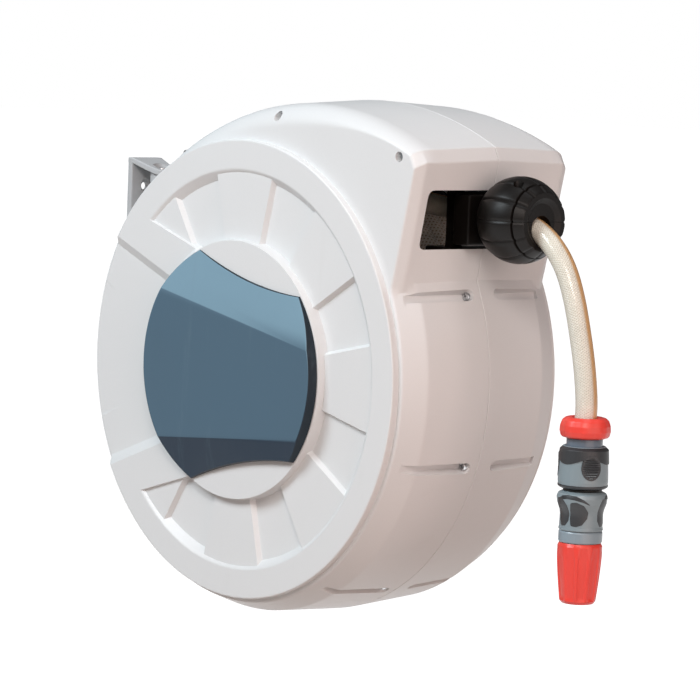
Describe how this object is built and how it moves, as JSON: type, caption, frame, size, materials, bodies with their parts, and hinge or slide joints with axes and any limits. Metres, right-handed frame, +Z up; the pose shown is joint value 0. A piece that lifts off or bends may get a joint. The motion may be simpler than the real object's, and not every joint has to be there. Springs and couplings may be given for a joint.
{
  "type": "wall-mounted hose reel",
  "caption": "Wall-hung hose reel: a swinging two-shell casing with a spring-wound drum, hose guide, ball stop and a hanging hose end with spray nozzle.",
  "frame": {"origin": "centre of the wall bracket's back face, on the wall", "axes": "+X away from the wall, towards the hose's outlet; +Z up; the drum's axis runs along Y, with the plain side of the casing at -Y and the water inlet at +Y"},
  "size_m": [0.5462, 0.223, 0.4086],
  "materials": {
    "casing": "fine-grained satin light grey moulding",
    "cap": "satin slate blue",
    "bracket": "satin light grey moulding",
    "black": "satin black",
    "dark": "satin dark grey",
    "natural": "natural acetal, satin",
    "steel": "bright zinc-plated steel",
    "spring_steel": "blued spring steel",
    "rubber": "smooth black rubber",
    "hose": "braided clear hose, satin",
    "red": "satin red",
    "grey": "satin mid grey",
    "pale_grey": "satin pale grey"
  },
  "bodies": {
    "bracket": {"wall_bracket": "bracket", "swivel_pin": "steel", "swivel_pin_clip": "spring_steel"},
    "casing": {"casing_left": "casing", "casing_right": "casing", "cap_left": "cap", "cap_right": "cap", "rim_screw_1": "steel", "rim_screw_2": "steel", "rim_screw_3": "steel", "rim_screw_4": "steel", "rim_screw_5": "steel", "top_screw_1": "steel", "top_screw_2": "steel", "top_screw_3": "steel", "axle": "steel", "spring_arbor": "dark", "main_spring": "spring_steel", "pawl_pin": "steel", "idler_pin": "steel", "guide_rod": "steel", "inlet_elbow": "black", "inlet_seal_inner": "rubber", "inlet_seal_outer": "rubber"},
    "drum": {"drum_left": "dark", "drum_right": "dark", "axle_bush": "natural", "spring_cover": "dark", "ratchet_wheel": "natural", "drum_gear": "natural", "water_tube": "black", "hose_pack": "hose"},
    "pawl": {"pawl": "steel"},
    "idler": {"idler_gear": "natural"},
    "traverse": {"cross_screw": "natural", "screw_gear": "natural"},
    "guide": {"hose_guide": "black", "hose_run": "hose", "ball_upper": "black", "ball_lower": "black", "ball_screw": "steel", "hose_tail": "hose", "connector_core": "grey", "nozzle_nipple": "black", "nozzle_body": "grey"},
    "upper_roller": {"roller_upper": "black"},
    "lower_roller": {"roller_lower": "black"},
    "left_roller": {"roller_left": "black"},
    "right_roller": {"roller_right": "black"},
    "nut": {"connector_nut": "red"},
    "collar": {"release_collar": "grey"},
    "spray_head": {"nozzle_ring": "pale_grey", "nozzle_head": "red"}
  },
  "joints": [
    {"name": "casing_swing", "type": "hinge", "parent": "bracket", "child": "casing", "pos_m": [0.026, 0, 0], "axis": [0, 0, 1], "range_deg": [-30, 30]},
    {"name": "drum_spin", "type": "hinge", "parent": "casing", "child": "drum", "pos_m": [0.231, 0, -0.054], "axis": [0, 1, 0], "range_deg": [-825, 825]},
    {"name": "idler_spin", "type": "hinge", "parent": "casing", "child": "idler", "pos_m": [0.31322, 0.064, -0.0045], "axis": [0, 1, 0], "range_deg": [-475, 475]},
    {"name": "cross_screw_spin", "type": "hinge", "parent": "casing", "child": "traverse", "pos_m": [0.3805, 0, 0.036], "axis": [0, 1, 0], "range_deg": [-1655, 1655]},
    {"name": "guide_slide", "type": "slide", "parent": "casing", "child": "guide", "axis": [0, 1, 0], "range_m": [-0.038, 0.038]},
    {"name": "pawl_pivot", "type": "hinge", "parent": "casing", "child": "pawl", "pos_m": [0.28988, -0.064, -0.1194], "axis": [0, 1, 0], "range_deg": [-14, 2], "stiffness_Nm_per_rad": 0.05},
    {"name": "upper_roller_spin", "type": "hinge", "parent": "guide", "child": "upper_roller", "pos_m": [0.397, 0, 0.09495], "axis": [0, 1, 0], "continuous": true},
    {"name": "lower_roller_spin", "type": "hinge", "parent": "guide", "child": "lower_roller", "pos_m": [0.397, 0, 0.06465], "axis": [0, 1, 0], "continuous": true},
    {"name": "left_roller_spin", "type": "hinge", "parent": "guide", "child": "left_roller", "pos_m": [0.411, -0.01515, 0.0755], "axis": [0, 0, 1], "continuous": true},
    {"name": "right_roller_spin", "type": "hinge", "parent": "guide", "child": "right_roller", "pos_m": [0.411, 0.01515, 0.0755], "axis": [0, 0, 1], "continuous": true},
    {"name": "nut_turn", "type": "hinge", "parent": "guide", "child": "nut", "pos_m": [0.52715, 0, -0.071], "axis": [0, 0, 1], "range_deg": [0, 540]},
    {"name": "collar_slide", "type": "slide", "parent": "guide", "child": "collar", "axis": [0, 0, 1], "range_m": [0, 0.005], "stiffness_N_per_m": 600, "springref_m": -0.003},
    {"name": "spray_turn", "type": "hinge", "parent": "guide", "child": "spray_head", "pos_m": [0.52715, 0, -0.184], "axis": [0, 0, 1], "range_deg": [0, 270]}
  ],
  "couplings": [
    {"joint": "idler_spin", "follows": "drum_spin", "ratio": -0.57143},
    {"joint": "cross_screw_spin", "follows": "drum_spin", "ratio": 2},
    {"joint": "guide_slide", "follows": "drum_spin", "m_per_rad": 0.0026261}
  ]
}
